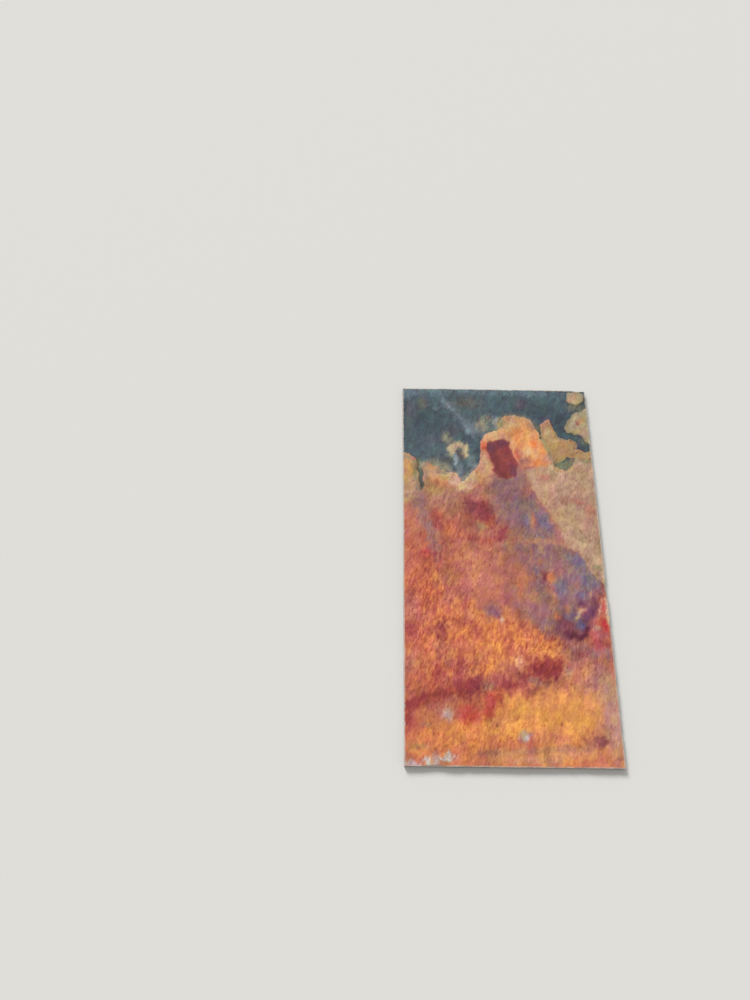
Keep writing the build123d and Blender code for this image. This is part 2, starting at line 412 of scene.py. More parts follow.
def rusty_skin():
    """The warm half: salmon and orange rust, dark red streaks, yellow toward the near edge."""
    return (
        ((172, 98, 76), 0.8 * spot(-80, 54, 34, 24), 0.6 * spot(-118, 50, 14, 12)),
        (brown, 0.8 * spot(-92, 96, 64, 22), 0.4 * spot(10, 20, 60), 0.5 * spot(-115, 50, 16, 12),
         0.5 * spot(-30, 108, 30, 10)),
        ((156, 116, 88), 0.9 * spot(-104, 112, 30, 10), 0.7 * spot(-60, 112, 30, 7)),
        (deep_orange, 0.8 * spot(-115, -38, 32, 48, -14), 0.6 * spot(-118, -124, 34, 30),
         0.6 * spot(-96, -168, 16, 10), 0.6 * spot(38, -38, 15, 13), 0.7 * spot(-20, -215, 40, 20),
         0.5 * spot(-80, 48, 16, 14), 0.7 * spot(-120, -188, 34, 14)),
        (amber, 0.85 * spot(-18, -122, 80, 28), 0.7 * spot(-82, -88, 24, 14), 0.9 * spot(-82, -262, 80, 30),
         0.6 * spot(42, -138, 40, 18), 0.6 * spot(-112, -142, 12, 10), 0.8 * spot(30, -284, 120, 16),
         0.5 * spot(-100, -28, 14, 12), 1.3 * spot(-38, -164, 12, 11), 0.3 * spot(-104, -170, 20, 10)),
        (gold, 1.2 * spot(60, -228, 66, 28), 0.95 * spot(4, -244, 50, 20), 1.2 * spot(2, -212, 15, 8),
         0.45 * spot(-20, -134, 16, 8), 0.7 * spot(-20, -152, 12, 7), 0.45 * spot(-100, -240, 14, 8),
         0.55 * spot(-44, -84, 14, 7), 0.4 * spot(50, -134, 18, 9), 0.5 * spot(38, -150, 10, 6),
         1.1 * spot(92, -204, 24, 14), 0.9 * spot(96, -250, 18, 10), 0.7 * spot(60, -276, 40, 12),
         0.5 * spot(-140, -272, 10), 0.5 * spot(-64, -258, 30, 12)),
        (peach, 0.5 * spot(-50, 0, 18, 14), 0.4 * spot(-35, -34, 20, 12), 1.2 * spot(15, -156, 5, 8),
         0.5 * spot(-86, -36, 14, 12), 0.5 * spot(0, 28, 8, 10), 0.5 * spot(-140, -150, 9, 12),
         0.5 * spot(-100, -132, 8), 0.5 * spot(-86, -232, 8), 0.4 * spot(120, -192, 10, 8),
         0.7 * spot(-138, -72, 12, 14)),
        (rose, 0.7 * spot(-58, -12, 13, 9), 0.6 * spot(-84, -60, 9, 12), 0.9 * spot(-2, -60, 15, 12),
         0.6 * spot(-20, 18, 24, 14), 0.3 * spot(118, -164, 36), 0.5 * spot(-40, 96, 24, 10),
         0.5 * spot(-138, -98, 12, 14), 0.4 * spot(-52, -58, 14, 12)),
        (mauve, 0.75 * streak([(-130, 112), (-118, 70), (-108, 40), (-101, 4)], 8),
         0.3 * spot(-88, -22, 7, 14), 0.9 * spot(2, 68, 14, 16), 0.6 * spot(98, -136, 18, 12)),
        ((166, 110, 120), 0.7 * spot(20, -70, 10, 9)),
        ((190, 136, 112), 0.7 * spot(118, -180, 26)),
        ((188, 146, 130), 0.9 * spot(146, -234, 22, 52), 0.8 * spot(140, -192, 14, 24)),
        (pink_tan, 0.6 * spot(16, -262, 8, 7), 0.7 * spot(-90, -231, 8), 0.3 * spot(-88, 104, 20, 8)),
        (brick, 0.9 * spot(-99, 68, 8, 14), 0.8 * spot(-118, 5, 22, 9), 0.8 * spot(-143, 26, 8, 9),
         0.4 * spot(-140, -58, 8, 9), 1.1 * spot(-140, -112, 10, 13), 0.7 * spot(-94, -112, 5, 12),
         0.9 * streak([(-68, -142), (-73, -180)], 5), 0.6 * streak([(-50, -142), (-47, -160)], 3),
         0.6 * spot(20, -270, 14, 8), 0.6 * streak([(-48, -104), (-38, -116)], 6),
         0.5 * streak([(-6, -118), (-2, -138)], 5), 0.9 * spot(62, -121, 8), 0.6 * spot(20, -92, 5, 10),
         0.5 * spot(20, -146, 5, 9), 0.55 * streak(red_band, 10), 0.6 * spot(-60, -70, 7, 6),
         0.9 * spot(-70, -98, 8), 0.8 * spot(-27, -282, 6, 4), 0.7 * spot(-120, 34, 6, 11),
         0.6 * spot(3, -118, 4, 9), 0.6 * spot(-12, 62, 14, 13),
         0.7 * streak([(-50, 36), (-30, 30), (0, 34)], 5), 0.6 * spot(-128, -248, 9, 10),
         0.6 * spot(-44, 68, 12, 10)),
        ((158, 66, 56), 1.1 * streak(red_band[:4], 6), spot(-144, -236, 7, 20),
         0.7 * spot(-102, -172, 10, 9)),
        (wine, 0.5 * streak(red_band[:3], 4), 1.4 * spot(-57, -191, 15, 12), 1.5 * spot(55, -165, 22, 12),
         0.8 * spot(72, -156, 6), 0.9 * spot(0, -189, 14, 7), 0.8 * spot(28, -178, 12, 6),
         1.1 * spot(28, -201, 7, 8), 0.8 * streak([(40, -186), (32, -196), (22, -206)], 4),
         1.5 * spot(-22, 81, 13, 14), 0.8 * streak([(9, 62), (4, 50), (-3, 34)], 4),
         0.5 * streak([(-30, 66), (-6, 64)], 4)),
        ((142, 68, 66), 1.2 * spot(-47, 88, 9, 13)),
        ((118, 56, 58), 0.6 * spot(-18, 84, 12, 10), 0.5 * spot(-30, 72, 8, 6), 0.7 * spot(52, -186, 6, 4),
         0.8 * spot(30, -200, 6, 7), 0.5 * spot(14, -174, 6, 8)),
        ((236, 176, 134), 0.9 * spot(14, -156, 5, 8)),
        ((156, 122, 108), 0.7 * spot(34, -182, 9, 4), 0.5 * spot(-34, -190, 6)),
        ((136, 70, 76), 1.2 * spot(121, -265, 11, 7), 0.5 * spot(104, -270, 8, 6)),
        ((190, 76, 60), 1.3 * spot(-60, -231, 13, 12), 0.7 * spot(-116, 12, 8, 7),
         streak([(-18, -206), (-28, -214), (-34, -230)], 6)),
        (coral, 1.1 * spot(-28, -211, 8, 9), 0.6 * spot(22, -262, 3, 5), 0.3 * spot(122, -110, 8, 5)),
        ((186, 90, 88), 0.8 * spot(130, -116, 16, 8)),
        ((198, 116, 106), 0.8 * spot(146, -162, 4, 14), 0.7 * spot(136, -116, 8, 4)),
        ((174, 76, 80), 0.5 * spot(-96, -112, 5, 12), 0.9 * spot(132, -128, 11, 6),
         0.6 * spot(104, -143, 8, 4)),
        ((150, 116, 114), 0.7 * spot(124, -143, 9, 5), 0.7 * spot(142, -142, 5, 8),
         0.5 * spot(90, -166, 9, 7)),
        (brown, 0.6 * streak([(-48, -282), (0, -279), (50, -277), (106, -273)], 4),
         0.8 * spot(-30, -190, 8, 6), 0.8 * spot(40, -186, 10, 5), 0.6 * spot(2, -44, 4, 8),
         0.5 * spot(92, -158, 10, 14)),
        (plum, 1.1 * spot(-21, -80, 11, 10), 0.25 * spot(113, -178, 9, 6), 0.3 * spot(131, -244, 6)),
        ((206, 124, 96), 0.5 * spot(91, -216, 5, 6), 0.4 * spot(70, -228, 6)),
        ((248, 172, 92), 0.55 * spot(66, -216, 50, 20), 0.5 * spot(96, -240, 24),
         0.5 * spot(40, -252, 14, 8)),
        ((222, 140, 96), 0.6 * spot(97, -171, 13, 12)),
        ((228, 144, 84), 0.5 * spot(57, -135, 14, 9), 0.5 * spot(-36, -158, 16, 14),
         0.6 * spot(-69, -72, 6, 7), 0.6 * spot(-51, -68, 5, 7)),
        (olive, 0.5 * spot(-32, 54, 8, 6), 0.4 * spot(4, 22, 5, 8), 0.4 * spot(14, -48, 5, 9),
         0.2 * spot(140, -200, 8, 14), 0.4 * spot(-120, -244, 5), 0.35 * spot(-128, -274, 14, 3)),
    )


def mauve_wedge():
    """The purple-grey wedge, with blue spots and orange strips. A dark hook and bright red end it."""
    return (
        (mauve, 0.97 * wedge),
        (rose, 0.6 * spot(66, -46, 7, 8), 0.7 * spot(109, -37, 5, 8), 0.5 * spot(57, -88, 12, 8),
         0.4 * spot(32, 8, 12, 8), 0.4 * spot(80, -20, 8, 20)),
        (plum, 0.7 * spot(20, 112, 20, 12), 0.4 * spot(56, 94, 8, 14), 0.5 * spot(84, -70, 8, 10)),
        (brick, 0.5 * spot(42, 112, 8, 9), 0.4 * spot(14, 100, 8, 6)),
        (blue_mauve, 0.95 * spot(67, 62, 9, 17, 30), 0.7 * spot(38, 66, 8, 11),
         0.95 * spot(111, 0, 10, 20, 42), spot(124, -30, 15), 0.9 * spot(84, -42, 10, 13),
         0.6 * spot(56, 38, 9, 5), 0.8 * spot(112, -55, 9, 8), 0.5 * spot(28, 92, 9),
         0.6 * spot(84, -88, 10, 6), 0.3 * spot(58, -68, 5, 12), 0.6 * spot(48, -10, 5, 16)),
        ((172, 106, 82), 0.8 * spot(40, -30, 9), 0.5 * spot(62, -70, 8, 9)),
        (amber, 0.55 * spot(49, 64, 4, 13), 0.3 * spot(30, 30, 18, 5), 0.85 * spot(69, -27, 5, 9),
         0.4 * spot(50, -4, 10, 8), 0.35 * spot(26, -20, 12), 0.4 * spot(72, -60, 4, 12),
         0.2 * spot(44, -66, 8, 16), 0.3 * spot(125, -54, 4, 6)),
        ((150, 112, 124), 0.6 * spot(36, -84, 14, 12), 0.7 * spot(54, -100, 9), 0.5 * spot(100, -60, 6, 12)),
        ((134, 92, 92), 0.8 * spot(107, 15, 9, 5, -45), 0.6 * spot(76, 14, 6, 7)),
        (peach, 0.4 * streak([(34, 26), (59, 31), (84, 28), (98, 24)], 4), 0.5 * spot(43, 16, 2, 7),
         0.3 * spot(58, 20, 3, 8), 0.4 * spot(62, -106, 8, 5)),
        ((124, 50, 60), spot(60, -26, 5, 9), 0.6 * spot(146, -38, 3, 6)),
        ((132, 76, 88), 0.85 * patch(hook_outline, 10, 4),
         0.7 * streak([(60, -112), (72, -110), (84, -112)], 4)),
        ((110, 86, 92), 0.5 * spot(27, 101, 25, 15)),
        ((112, 104, 98), 0.5 * spot(51, 91, 8, 10)),
        ((124, 62, 78), 0.85 * streak([(77, -88), (82, -98), (93, -106)], 6)),
        ((98, 84, 128), 1.1 * spot(107, -99, 6, 7), 0.5 * spot(97, -86, 5)),
        ((112, 62, 98), 0.9 * streak([(114, -92), (120, -83), (127, -74)], 4.5)),
        ((116, 62, 84), 0.9 * spot(112, -69, 6, 5), 0.9 * spot(131, -69, 5, 8)),
        ((94, 36, 56), 1.2 * streak([(88, -114), (100, -118), (110, -116), (115, -108)], 4.5)),
        (amber, 0.8 * spot(111, -78, 5, 4), 0.7 * spot(73, -88, 4, 6), 0.4 * spot(89, -76, 5, 6)),
        (coral, 0.8 * spot(142, -68, 4, 10)),
        ((192, 98, 90), 0.7 * spot(127, -97, 5, 7)),
        ((190, 60, 56), 1.2 * spot(142, -99, 6, 9, 12)),
        (cream, 0.9 * streak([(114, -77), (108, -81), (103, -88)], 2.2),
         0.6 * streak([(141, -60), (138, -76), (134, -91)], 1.2), 0.7 * spot(129, -105, 4, 5),
         0.9 * streak([(147, -60), (148, -86), (148, -98)], 2)),
    )


def tan_layer():
    """The bare tan layer down the right side, pinkish in places."""
    return (
        ((188, 155, 126), bare_tan),
        *within(
            bare_tan,
            (pink_tan, 0.6 * spot(84, 118, 12), 0.6 * spot(122, 112, 16, 10), 0.55 * spot(132, 62, 12, 18)),
            (brown, 0.7 * spot(100, 99, 10, 7), 0.4 * spot(78, 94, 8, 14), 0.4 * spot(66, 132, 6, 8),
             0.4 * streak(tan_outline[:11], 4), 0.3 * spot(100, 30, 8)),
            (ochre, 0.7 * spot(104, 153, 20, 6), 0.4 * spot(137, 147, 9, 8), 0.3 * spot(92, 74, 14, 10),
             0.5 * spot(62, 148, 9, 6), 0.3 * spot(112, 60, 12, 9)),
            (coral, 0.35 * spot(122, 96, 10, 4), 0.35 * spot(74, 140, 8, 5), 0.3 * spot(138, 82, 8, 10)),
            (olive, 0.4 * spot(92, 164, 12, 4), 0.6 * spot(142, -10, 7, 5), 0.3 * spot(147, 20, 2, 16),
             0.9 * spot(110, 171, 20, 5), 0.8 * spot(142, 170, 10, 7)),
            ((214, 176, 146), 0.6 * spot(108, 131, 17, 8)),
            (cream, 0.8 * streak([(81, 156), (89, 149), (100, 143)], 2), 0.5 * spot(124, 22, 10, 9),
             0.5 * spot(95, 142, 6, 5), 0.6 * streak([(148, 0), (148, -48)], 1.6)),
        ),
    )


def far_skins():
    """Skins beside the bare slate: the orange lobe with its dark core, cream rims, and ochre islands."""
    core = patch(core_outline, 4, 3)
    rim_colours = any_of(1.1 * streak(gold_rim[1:], 9), spot(-40, 134, 10))
    khaki = (160, 150, 114)
    pale_gold = (186, 152, 106)
    return (
        ((208, 176, 136), rim_colours, spot(-18, 158, 10, 20)),
        (pale_gold, 0.95 * patch(tongue_outline, 6, 2.5)),
        (gold, 0.4 * spot(-142, 152, 7, 16)),
        ((176, 138, 116), 0.9 * spot(-140, 112, 12, 9)),
        ((192, 150, 110), 1.1 * spot(-107, 142, 11, 10)),
        (amber, 0.2 * spot(-103, 132, 9, 7), 0.4 * spot(-22, 146, 5, 8), 0.5 * spot(-142, 152, 8, 10)),
        (gold, 0.2 * spot(-34, 130, 8)),
        (ochre, 0.6 * spot(-142, 146, 12, 18), 0.8 * spot(-84, 136, 12, 5), 0.4 * spot(-46, 128, 5, 6),
         0.6 * spot(-116, 152, 9, 6), 0.5 * spot(-100, 112, 12, 8)),
        (olive, 0.8 * spot(-84, 150, 14, 5), 0.8 * spot(-118, 158, 8, 5), 0.6 * spot(-146, 172, 12, 6),
         0.7 * streak([(-133, 164), (-132, 146), (-126, 118)], 3.5),
         0.5 * streak([(-113, 150), (-114, 124)], 3)),
        ((212, 156, 114), lobe),
        *within(
            lobe,
            (gold, 0.5 * spot(48, 215, 18, 22), 0.5 * spot(24, 222, 12, 10), 0.3 * spot(58, 174, 14, 7)),
            (cream, 0.7 * spot(-6, 216, 10, 6), 0.5 * spot(52, 186, 7, 8), 0.7 * spot(22, 234, 10, 9),
             0.4 * spot(-22, 206, 6, 5), 0.6 * spot(-20, 168, 6, 14)),
            (olive, 0.6 * spot(7, 236, 7, 8), 0.4 * spot(36, 250, 18, 4)),
            (amber, 0.7 * streak([(36, 196), (32, 216), (44, 228)], 5), 0.9 * spot(60, 165, 19, 6),
             0.7 * spot(72, 188, 6, 12)),
            ((230, 128, 56), 0.95 * spot(59, 199, 5, 8), 0.5 * spot(64, 212, 4, 8)),
            (brick, 0.4 * spot(33, 178, 6, 14), 0.6 * spot(38, 162, 9, 8)),
            (brown, 0.8 * spot(42, 166, 11, 9)),
            (coral, 0.95 * spot(-21, 192, 7, 8), 0.8 * spot(30, 176, 4, 10), 0.5 * spot(-14, 176, 4, 8)),
        ),
        ((140, 62, 62), core),
        *within(
            core,
            ((108, 54, 72), spot(-9, 190, 6, 9), 0.8 * spot(8, 199, 11, 5), 0.9 * spot(25, 150, 8)),
            ((120, 52, 46), 0.8 * spot(-4, 172, 5, 9), 0.8 * spot(10, 142, 10, 6), 0.5 * spot(0, 156, 5, 7)),
            (wine, 0.7 * spot(14, 190, 6), 0.6 * spot(8, 152, 6)),
            ((168, 78, 60), 0.5 * spot(5, 182, 5), 0.7 * spot(13, 168, 7, 6)),
        ),
        ((232, 182, 142), lobe * any_of(
            0.5 * spot(40, 232, 10, 6), 0.5 * spot(22, 230, 9, 6), 0.4 * spot(60, 212, 7, 8))),
        ((226, 182, 134), 0.5 * spot(-20, 150, 8, 9)),
        (peach, 0.7 * streak([(21, 196), (25, 182), (32, 168)], 1.5)),
        ((166, 134, 90), patch(shelf_outline, 4, 1.8)),
        ((188, 154, 114), 0.7 * spot(84, 216, 6, 12)),
        ((166, 158, 130), patch(blot_outline, 4, 1.8)),
        ((202, 170, 124), spot(131, 283, 11, 7)),
        ((176, 162, 126), patch(point_outline, 4, 1.8)),
        (khaki, 0.6 * spot(130, 192, 16, 6), 0.7 * spot(144, 290, 4, 8)),
        ((144, 144, 114), 0.55 * spot(143, 233, 10, 9)),
        ((142, 124, 96), lobe * 0.7 * spot(63, 234, 8, 7)),
        (gold, 0.2 * spot(108, 200, 16, 7), 0.2 * spot(140, 224, 10)),
        (brown, 0.4 * spot(80, 234, 6, 7), 0.4 * spot(110, 186, 14, 7), 0.8 * spot(132, 237, 3, 4)),
        (olive, 0.8 * streak(shelf_outline[4:9], 2.5), 0.6 * streak(point_outline[1:9], 3),
         0.5 * spot(84, 218, 3, 8)),
        # The cream streak along the slate's edge beside the lobe is partly a pale broken edge and partly a
        # painted highlight
        (cream, 0.5 * spot(83, 221, 5, 6), 0.4 * spot(98, 205, 9, 3), 0.5 * spot(143, 222, 5, 10),
         0.5 * streak([(140, 178), (150, 176)], 3), 0.4 * spot(80, 172, 6, 5),
         0.5 * streak(slate_outline[31:38], 1.6),
         0.6 * streak([(80, 164), (88, 152), (102, 146), (116, 152)], 2)),
        (amber, 0.15 * spot(82, 236, 4), 0.5 * spot(139, 242, 5)),
        ((190, 160, 118), 0.6 * spot(-110, 154, 9, 6), 0.4 * spot(82, 238, 6)),
        (olive, 0.5 * spot(2, 238, 8), 0.6 * streak(blot_outline, 1.8)),
        (khaki, 0.8 * spot(2, 234, 7, 9)),
        (olive, 0.7 * streak(shelf_outline[14:19], 2.5)),
    )


def slate_stains():
    """Tints of the bare slate, pale scuffs over it, painted shadow under the steps, painted sheen at the far
    edge.
    """
    edges = any_of(*(streak(line + line[:1], 4) for line in island_outlines))
    return (
        # The paler blue band along the far edge is painted sheen
        ((100, 122, 130), spot(-136, 293, 22, 9), 0.8 * spot(-40, 295, 150, 6), 0.6 * spot(-40, 170, 9, 12)),
        (teal_slate, 0.5 * spot(-100, 186, 16, 14), 0.2 * spot(96, 286, 34, 8), 0.9 * spot(-56, 146, 7, 14),
         0.3 * spot(20, 262, 60, 5), 0.9 * spot(138, 268, 9, 6)),
        # The dark slate round the islands and along the skins' edge is painted shadow at the foot of the
        # steps
        (dark_slate, 0.8 * spot(-116, 238, 14, 24), 0.6 * streak([(-92, 256), (-66, 232), (-46, 208)], 8),
         0.7 * spot(-146, 226, 5, 44), 0.8 * spot(104, 236, 16, 22), 0.6 * spot(72, 258, 20, 12),
         0.5 * spot(20, 264, 30, 8), 0.6 * spot(-94, 222, 9, 22), 0.7 * edges,
         0.3 * streak(slate_outline[20:44], 4), 0.5 * spot(-138, 250, 10, 14), 0.5 * spot(-62, 232, 12),
         0.5 * spot(-84, 250, 10, 12), 0.5 * spot(4, 252, 14, 8)),
        (purple_slate, 0.8 * spot(42, 271, 10, 7), 0.5 * spot(-102, 205, 12, 7), 0.6 * spot(124, 196, 12, 8),
         0.4 * spot(-66, 224, 10), 0.5 * spot(82, 244, 9, 6), 0.5 * spot(-137, 262, 7, 14)),
        (brown_slate, 0.8 * spot(-47, 273, 22, 11), 0.6 * spot(-86, 166, 20, 8),
         0.4 * spot(-142, 250, 3, 26)),
        (olive, 0.5 * spot(-118, 272, 7, 11), 0.5 * streak(slate_outline[10:16], 4),
         0.5 * streak(slate_outline[26:30], 5), 0.5 * spot(141, 206, 8, 6), 0.7 * spot(134, 268, 12, 7)),
        ((80, 84, 66), 0.9 * streak(notch, 6), streak(channel, 6)),
        ((114, 118, 92), 1.2 * spot(103, 160, 22, 9)),
        ((152, 124, 94), 0.8 * spot(123, 171, 7)),
        ((164, 146, 116), 0.5 * streak(slate_outline[29:36], 4)),
        ((128, 144, 152), 0.5 * spot(-42, 226, 9, 11), 0.4 * spot(-43, 172, 7, 10)),
        ((154, 148, 120), 0.9 * spot(-22, 232, 11, 12), 0.7 * spot(-11, 244, 7, 6),
         0.8 * spot(-79, 207, 7, 11, 20)),
        ((200, 180, 140), 1.1 * streak(rust_ring, 5)),
        ((92, 78, 72), 0.9 * spot(-60, 178, 5, 8)),
        ((142, 136, 112), 0.9 * streak([(-121, 159), (-99, 159), (-80, 152)], 6)),
        ((150, 146, 126), 0.8 * streak([(-74, 146), (-58, 134), (-44, 146), (-34, 158)], 4)),
        (pale_slate, 0.9 * spot(-76, 268, 5, 6), 0.4 * streak(scuff, 4), 0.14 * streak(scuff, 9),
         0.4 * spot(-44, 222, 5, 8), 1.1 * streak([(-66, 176), (-66, 160)], 3), spot(0, 236, 5, 10),
         0.3 * spot(-22, 214, 8, 6), 0.4 * spot(-96, 262, 4, 3), 0.2 * spot(60, 292, 30, 3),
         0.7 * spot(-60, 150, 5, 9), 0.4 * spot(-40, 158, 5, 10)),
    )


def loose_marks():
    """Dark red-brown in the pits, pale flecks, a paler strip along the near edge, and splashes of lime."""
    return (
        ((120, 58, 42), 0.6 * pit_shapes),
        ((222, 204, 198), 0.9 * spot(-7, -94, 2.2, 3.5)),
        ((196, 166, 146), 0.7 * spot(-90, -230, 7), 0.5 * spot(83, -170, 5, 6)),
        ((166, 152, 138), 0.9 * spot(16, -260, 6, 7)),
        ((200, 168, 126), 0.4 * streak([(0, -291), (60, -291)], 5)),
        ((196, 142, 116), 0.45 * streak([(-30, -288), (50, -284), (110, -280)], 9)),
        (lime, lime_shapes),
    )


skin = painted(salmon, (*rusty_skin(), *mauve_wedge(), *tan_layer(), *far_skins(), *loose_marks()))
slate = painted(blue_slate, (*slate_stains(), *loose_marks()))
# Each leaf of the stone took the stains a little more or less, and the ripples' hollows are darkened:
# painted shade
leaf_index = leaf_number - leaf_number.min()
leaf_shade = np.random.default_rng(91).uniform(0.92, 1.08, leaf_index.max() + 2)
leaf_tone_and_painted_shade = leaf_shade[leaf_index] + (leaf_shade[leaf_index + 1] - leaf_shade[leaf_index]) * leaf_slope
leaf_tone_and_painted_shade = leaf_tone_and_painted_shade * (1.0 - 0.05 * np.maximum(ripple, 0))
skin = np.clip(skin * leaf_tone_and_painted_shade[:, None], 0, 255)
slate = np.clip(slate * leaf_tone_and_painted_shade[:, None], 0, 255)
# How little the hue changes from grain to grain
calm = any_of(
    0.8 * bare_slate, 0.7 * bare_tan, 0.5 * islands, 0.4 * lobe, 0.25 * wedge, lime_shapes,
    0.4 * spot(60, -230, 80, 36), 0.4 * spot(-80, 60, 70, 50),
)
# Where the wedge is pied with strips
pied = 0.8 * patch(wedge_outline, 20, 8)
# How strong the light and dark grain is
grainy = 0.85 + any_of(
    0.4 * spot(-105, -80, 46, 110), 0.5 * spot(-25, 80, 24, 22), 0.25 * spot(50, 0, 44, 60),
    0.5 * spot(130, -50, 26, 60), 0.8 * spot(50, -150, 56, 40), 0.4 * spot(-60, -190, 80, 50),
    0.3 * spot(-20, -240, 60, 40), 0.3 * spot(90, -272, 60, 22), 0.2 * spot(130, 120, 30, 60),
    0.4 * spot(30, 30, 16, 24), 0.5 * spot(10, -180, 40, 26), 0.4 * spot(-60, -280, 60, 16),
    0.6 * spot(142, -60, 12, 50),
) - 0.15 * bare_slate - 0.2 * spot(-75, 10, 30, 50)
# How thickly short red flecks lie in the rust
rust_flecks = any_of(
    spot(-105, -80, 46, 110), 0.6 * spot(-60, 40, 80, 70), 0.9 * spot(0, -120, 110, 36),
    0.9 * spot(-80, -170, 80, 40), 0.4 * spot(-60, -255, 90, 30), 0.5 * spot(120, -150, 30, 40),
    0.6 * spot(0, 60, 30), 0.6 * spot(40, -165, 50, 24),
)
flecked = np.clip(rust_flecks - any_of(bare_slate, bare_tan, islands, wedge, 2 * lime_shapes), 0, 1)


# The mesh: the face, sawn walls down from its rim, and the flat back
columns, rows_count = len(x_stations), len(y_stations)
index = np.arange(columns * rows_count).reshape(columns, rows_count)
# The rim, anticlockwise from the near left corner
ring = np.concatenate([index[:-1, 0], index[-1, :-1], index[:0:-1, -1], index[0, :0:-1]])
ring_size = len(ring)
# Shares of the walls' height, from the arris down
wall_shares = np.array([0.04, 0.1, 0.18, 0.27, 0.36, 0.45, 0.54, 0.63, 0.72, 0.81, 0.89, 0.96, 1.0])
wall_levels = len(wall_shares)
# How far the walls stand inward: the saw's waves, the open cleavage planes, and the broken bottom arris
saw_depth = 0.05
saw_wave = 0.04
open_plane_depth = 0.4
bottom_wear = 0.25
# The unwrapped tile on a square sheet, in the sheet's pixels: the face, then the walls as strips, and the
# back above them. The two short walls share a strip
sheet = 1024.0
pixels_per_mm = 1.66
margin = 10.0
gap = 8.0
strip = 16.0
face_corner = (margin, gap)
left_corner = (margin, gap + width * pixels_per_mm + gap)
right_corner = (margin, left_corner[1] + strip + gap)
near_corner = (margin, right_corner[1] + strip + gap)
far_corner = (margin + width * pixels_per_mm + gap, near_corner[1])
back_corner = (margin, near_corner[1] + strip + gap)
back_pixels_per_mm = (sheet - gap - back_corner[1]) / width


def walls():
    """Points of the sawn walls, ring under ring. Open cleavage planes notch them."""
    rim_x, rim_y, rim_z = X[ring], Y[ring], face_level[ring]
    run = np.cumsum(np.hypot(np.diff(rim_x, append=rim_x[0]), np.diff(rim_y, append=rim_y[0])))
    out_x = np.where(abs(rim_x) > half_width - 1e-6, np.sign(rim_x), 0)
    out_y = np.where(abs(rim_y) > half_length - 1e-6, np.sign(rim_y), 0)
    points = []
    for share in wall_shares:
        z = rim_z * (1 - share)
        saw = saw_depth + saw_wave * lattice_noise(run / 9, z / 2 + 7, 61)
        split = open_plane_depth * ease(0.45, 0.75, lattice_noise(run / 38, z * 0.85 + 3, 62))
        worn = bottom_wear * (share == 1.0)
        inward = np.clip(saw + split + worn, 0, 1)
        points.append(np.stack([rim_x - out_x * inward, rim_y - out_y * inward, z], 1))
    return np.concatenate(points)


def cells(grid):
    """The four corners of every cell of a grid, anticlockwise."""
    return np.stack([grid[:-1, :-1], grid[1:, :-1], grid[1:, 1:], grid[:-1, 1:]], 2)


def unwrapped():
    """Where every corner of every face lies on the sheet, in the order of the faces."""
    u, v = face_corner
    across, along = np.meshgrid(half_width - x_stations, half_length + y_stations, indexing="ij")
    flat = [cells(np.stack([u + along * pixels_per_mm, v + across * pixels_per_mm], -1)).reshape(-1, 2)]
    heights = strip * (1 - np.append(0, wall_shares))[::-1]
    short, long = x_stations + half_width, y_stations + half_length
    four_walls = ((short, near_corner), (long, right_corner), (short, far_corner), (long, left_corner))
    for run, (u, v) in four_walls:
        grid = np.stack(np.meshgrid(u + run * pixels_per_mm, v + heights, indexing="ij"), -1)
        flat.append(cells(grid).reshape(-1, 2))
    u, v = back_corner
    back = ring[::-1]
    flat.append(np.stack([u + (Y[back] + half_length) * back_pixels_per_mm,
                          v + (X[back] + half_width) * back_pixels_per_mm], 1))
    return np.concatenate(flat) / sheet


def as_light(steps):
    """Colours given as they look on a screen, in steps of 255, as the light that shaders add up."""
    return ((np.asarray(steps) / 255 + 0.055) / 1.055) ** 2.4


def seen(red, green, blue):
    """One colour, given as it looks on a screen, for a shader's socket."""
    return (*as_light((red, green, blue)).tolist(), 1.0)


# Edges that turn by more than this are shaded sharp
sharp_from = radians(40)


def tile_mesh():
    """The whole tile as one closed mesh, with its stains stored at every point."""
    points = np.concatenate([np.stack([X, Y, face_level], 1), walls()])
    below = columns * rows_count + np.arange(wall_levels * ring_size).reshape(wall_levels, ring_size)
    rings = np.concatenate([ring[None], below])
    wall_grid = np.hstack([rings, rings[:, :1]])[::-1].T
    faces = [*cells(index).reshape(-1, 4).tolist(), *cells(wall_grid).reshape(-1, 4).tolist()]
    faces.append(rings[-1, ::-1].tolist())
    mesh = bpy.data.meshes.new("slate")
    mesh.from_pydata((points * MM).tolist(), [], faces)
    mesh.uv_layers.new(name="OFBake").uv.foreach_set("vector", unwrapped().ravel().astype(np.float32))

    def write(name, face_values, wall_values=None):
        """Stores a number at every point. The walls repeat the rim's unless they have their own."""
        if wall_values is None:
            wall_values = np.tile(face_values[ring], wall_levels)
        both = np.concatenate([face_values, wall_values]).astype(np.float32)
        mesh.attributes.new(name, "FLOAT", "POINT").data.foreach_set("value", both)

    on_face = {
        "flecked": flecked, "pied": pied, "grainy": grainy, "calm": calm, "bare": bare_slate,
        "rim_distance": rim_distance, "spalled": spalled,
    }
    for name, values in on_face.items():
        write(name, values)
    write("depth", np.zeros(X.shape), np.outer(wall_shares, face_level[ring]).ravel())
    for name, stain in (("skin", skin), ("slate", slate)):
        light = np.hstack([as_light(stain), np.ones((X.size, 1))])
        light = np.concatenate([light, np.tile(light[ring], (wall_levels, 1))]).astype(np.float32)
        mesh.attributes.new(name, "FLOAT_COLOR", "POINT").data.foreach_set("color", light.ravel())
    mesh.shade_smooth()
    mesh.set_sharp_from_angle(angle=sharp_from)
    return mesh


